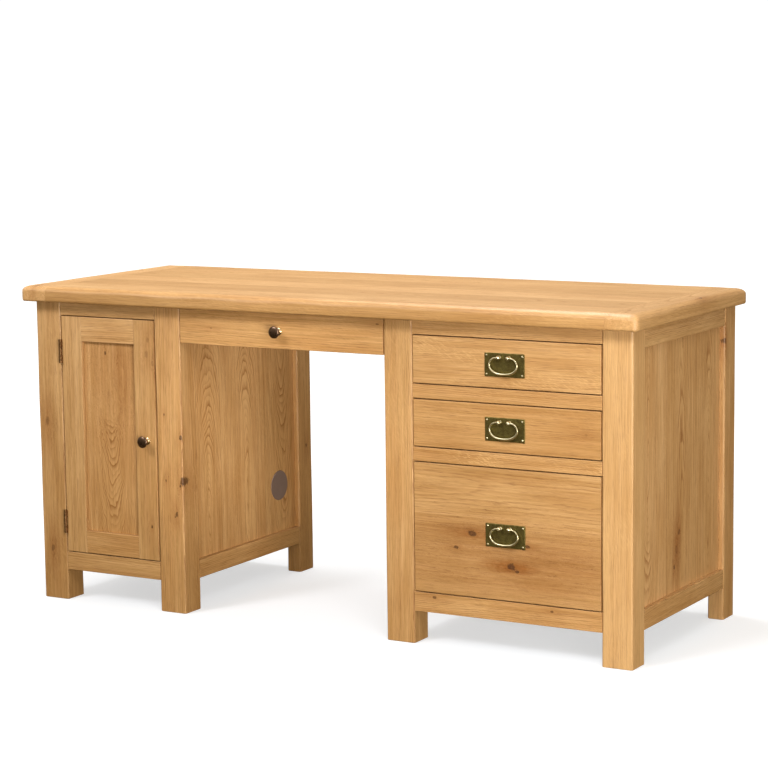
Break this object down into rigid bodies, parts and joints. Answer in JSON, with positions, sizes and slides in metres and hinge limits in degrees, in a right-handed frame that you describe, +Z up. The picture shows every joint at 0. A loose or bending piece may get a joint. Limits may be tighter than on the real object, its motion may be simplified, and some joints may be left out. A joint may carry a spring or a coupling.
{
  "type": "computer desk with keyboard tray",
  "caption": "Twin-pedestal oak computer desk: cupboard with hinged door, stacked drawers with bail handles, and a pull-out keyboard tray with drop front.",
  "frame": {"origin": "on the floor, under the middle of the desktop's outline", "axes": "+X to the right seen from the front (towards the drawers), +Y to the back, +Z up; the door and drawers face -Y"},
  "size_m": [1.64, 0.634, 0.78],
  "materials": {
    "oak": "satin lacquer",
    "oak_lining": "sanded, unfilled",
    "antique_brass": "aged, darkened brass",
    "bail_brass": "rubbed brass",
    "bronze": "dark bronze",
    "runner_steel": "zinc plated"
  },
  "bodies": {
    "desk": {"top_field_board": "oak", "top_end_left": "oak", "top_end_right": "oak", "cupboard_leg_front_outer": "oak", "cupboard_leg_rear_outer": "oak", "cupboard_outer_rail_top": "oak", "cupboard_outer_rail_bottom": "oak", "cupboard_outer_panel": "oak", "cupboard_leg_front_inner": "oak", "cupboard_leg_rear_inner": "oak", "cupboard_inner_rail_top": "oak", "cupboard_inner_rail_bottom": "oak", "cupboard_inner_panel": "oak", "cupboard_front_rail_top": "oak", "cupboard_back_panel": "oak_lining", "pedestal_leg_front_outer": "oak", "pedestal_leg_rear_outer": "oak", "pedestal_outer_rail_top": "oak", "pedestal_outer_rail_bottom": "oak", "pedestal_outer_panel": "oak", "pedestal_leg_front_inner": "oak", "pedestal_leg_rear_inner": "oak", "pedestal_inner_rail_top": "oak", "pedestal_inner_rail_bottom": "oak", "pedestal_inner_panel": "oak", "pedestal_front_rail_top": "oak", "pedestal_back_panel": "oak_lining", "cupboard_front_rail_bottom": "oak", "cupboard_floor": "oak_lining", "hinge_upper_frame_leaf": "bronze", "hinge_lower_frame_leaf": "bronze", "drawer_frame_upper": "oak", "drawer_frame_lower": "oak", "drawer_frame_bottom": "oak", "tray_runner_left": "runner_steel", "tray_runner_right": "runner_steel"},
    "door": {"door_stile_hinge": "oak", "door_stile_knob": "oak", "door_rail_top": "oak", "door_rail_bottom": "oak", "door_panel": "oak", "door_knob": "bronze", "hinge_upper_door_leaf": "bronze", "hinge_lower_door_leaf": "bronze"},
    "tray": {"tray_board": "oak_lining", "tray_flap_hinge": "runner_steel"},
    "tray_flap": {"tray_flap": "oak", "tray_knob": "bronze"},
    "drawer_1": {"drawer_1_front": "oak", "drawer_1_box": "oak_lining", "drawer_1_plate": "antique_brass"},
    "bail_1": {"drawer_1_bail": "bail_brass"},
    "drawer_2": {"drawer_2_front": "oak", "drawer_2_box": "oak_lining", "drawer_2_plate": "antique_brass"},
    "bail_2": {"drawer_2_bail": "bail_brass"},
    "drawer_3": {"drawer_3_front": "oak", "drawer_3_box": "oak_lining", "drawer_3_plate": "antique_brass"},
    "bail_3": {"drawer_3_bail": "bail_brass"}
  },
  "joints": [
    {"name": "door_hinge", "type": "hinge", "parent": "desk", "child": "door", "pos_m": [-0.7231, -0.2902, 0.414], "axis": [0, 0, -1], "range_deg": [0, 175]},
    {"name": "drawer_1_slide", "type": "slide", "parent": "desk", "child": "drawer_1", "axis": [0, -1, 0], "range_m": [0, 0.36]},
    {"name": "bail_1_swing", "type": "hinge", "parent": "drawer_1", "child": "bail_1", "pos_m": [0.491, -0.2952, 0.6675], "axis": [-1, 0, 0], "range_deg": [0, 95]},
    {"name": "drawer_2_slide", "type": "slide", "parent": "desk", "child": "drawer_2", "axis": [0, -1, 0], "range_m": [0, 0.36]},
    {"name": "bail_2_swing", "type": "hinge", "parent": "drawer_2", "child": "bail_2", "pos_m": [0.491, -0.2952, 0.524], "axis": [-1, 0, 0], "range_deg": [0, 95]},
    {"name": "drawer_3_slide", "type": "slide", "parent": "desk", "child": "drawer_3", "axis": [0, -1, 0], "range_m": [0, 0.4]},
    {"name": "bail_3_swing", "type": "hinge", "parent": "drawer_3", "child": "bail_3", "pos_m": [0.491, -0.2952, 0.286], "axis": [-1, 0, 0], "range_deg": [0, 95]},
    {"name": "tray_slide", "type": "slide", "parent": "desk", "child": "tray", "axis": [0, -1, 0], "range_m": [0, 0.3]},
    {"name": "tray_flap_hinge", "type": "hinge", "parent": "tray", "child": "tray_flap", "pos_m": [-0.0935, -0.2648, 0.6582], "axis": [1, 0, 0], "range_deg": [0, 90]}
  ]
}
